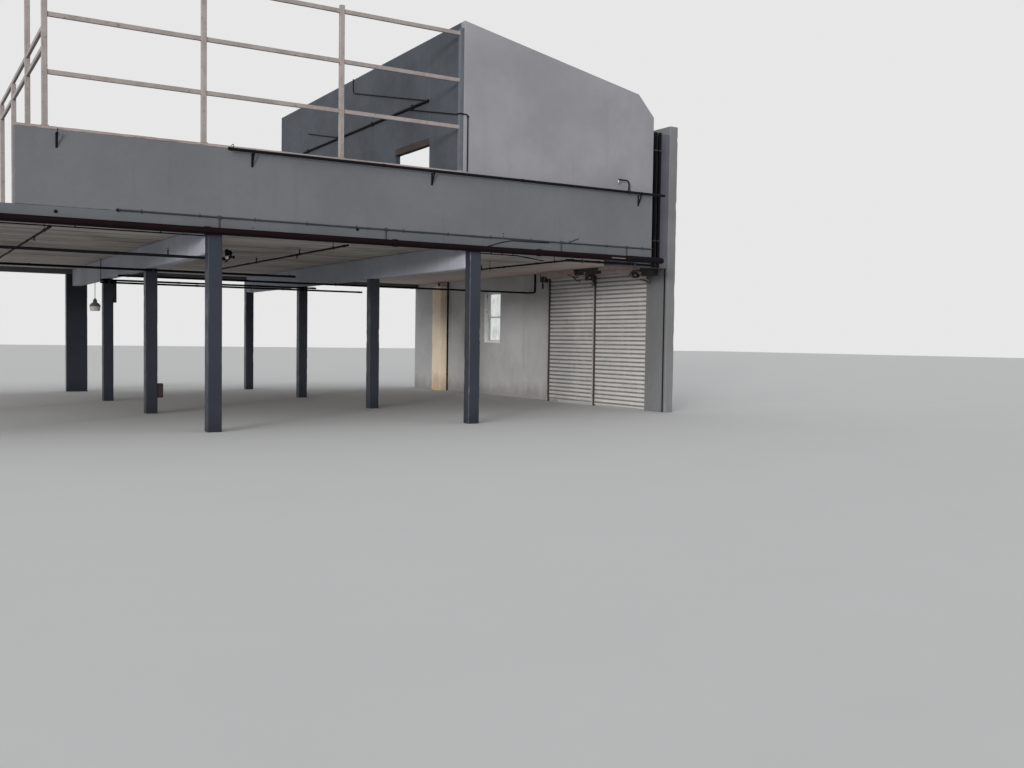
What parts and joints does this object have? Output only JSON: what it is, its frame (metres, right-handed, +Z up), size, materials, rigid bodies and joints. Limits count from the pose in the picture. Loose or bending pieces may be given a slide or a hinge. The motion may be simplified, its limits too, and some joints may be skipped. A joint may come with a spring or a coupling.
{
  "type": "factory mezzanine floor",
  "caption": "Concrete mezzanine floor on columns and cross beams, with a solid parapet, rail frame, end room walls, pipes, and a side wall with roller shutters.",
  "frame": {"origin": "on the ground, under the middle of the part's box", "axes": "+X along the front edge to the side wall, +Y from the front to the back, +Z up"},
  "size_m": [15.58, 14.1068, 7.4],
  "materials": {
    "soffit_paint": "off-white limewash over concrete, grimy",
    "grey_wall_paint": "grey paint over smooth plaster, matt",
    "beam_paint": "pale grey-green paint over concrete, matt",
    "column_paint": "dark slate-blue paint over concrete, satin",
    "white_wall_paint": "off-white paint over plaster, scuffed",
    "grimy_concrete": "bare concrete, dark with grime",
    "white_metal_paint": "white paint on steel, worn",
    "window_glass": "dusty clear glass",
    "cream_paint": "cream paint over plaster, stained",
    "shutter_paint": "pale grey enamel on steel slats, dusty",
    "dark_steel": "dark grimy steel",
    "cap_paint": "pale grey screed, chipped",
    "room_wall_paint": "pale grey paint over plaster, matt",
    "partition_paint": "blue-grey paint over plastered block, matt",
    "brown_timber": "brown stained timber, rough",
    "rail_paint": "off-white paint on steel tube, rust spots",
    "red_pipe_paint": "dark red paint, sooty",
    "black_pipe_paint": "black paint, satin",
    "grey_pipe_paint": "grey paint, matt",
    "red_box_paint": "dull red-brown enamel"
  },
  "bodies": {
    "root": {"floor_slab": "soffit_paint", "front_edge_beam": "grey_wall_paint", "corner_edge_beam": "grey_wall_paint", "rear_edge_beam": "grey_wall_paint", "cross_beams": "beam_paint", "left_columns": "column_paint", "middle_columns": "column_paint", "room_columns": "column_paint", "wide_pier": "column_paint", "corner_pier": "grey_wall_paint", "side_wall": "white_wall_paint", "shutter_lintel": "grimy_concrete", "window_frame": "white_metal_paint", "window_glass": "window_glass", "wall_pier": "cream_paint", "roller_shutters": "shutter_paint", "shutter_guides": "shutter_paint", "shutter_rolls": "dark_steel", "shutter_brackets": "dark_steel", "front_parapet": "grey_wall_paint", "parapet_cap": "cap_paint", "room_front_wall": "room_wall_paint", "room_notch_wall": "room_wall_paint", "room_end_wall": "partition_paint", "partition_front_panel": "partition_paint", "partition_over_doorway": "partition_paint", "partition_rear_panel": "partition_paint", "doorway_lintel": "brown_timber", "guard_rail_posts": "rail_paint", "guard_rails": "rail_paint", "return_rail_posts": "rail_paint", "return_rails": "rail_paint", "main_pipe": "red_pipe_paint", "main_pipe_joints": "red_pipe_paint", "top_pipe": "black_pipe_paint", "top_pipe_brackets": "black_pipe_paint", "gooseneck": "black_pipe_paint", "conduit": "grey_pipe_paint", "hung_pipes": "black_pipe_paint", "pipe_hangers": "dark_steel", "partition_pipes": "black_pipe_paint", "wall_pipes": "black_pipe_paint", "shade_lamp": "dark_steel", "junction_box": "dark_steel", "call_point_box": "red_box_paint"}
  },
  "joints": []
}
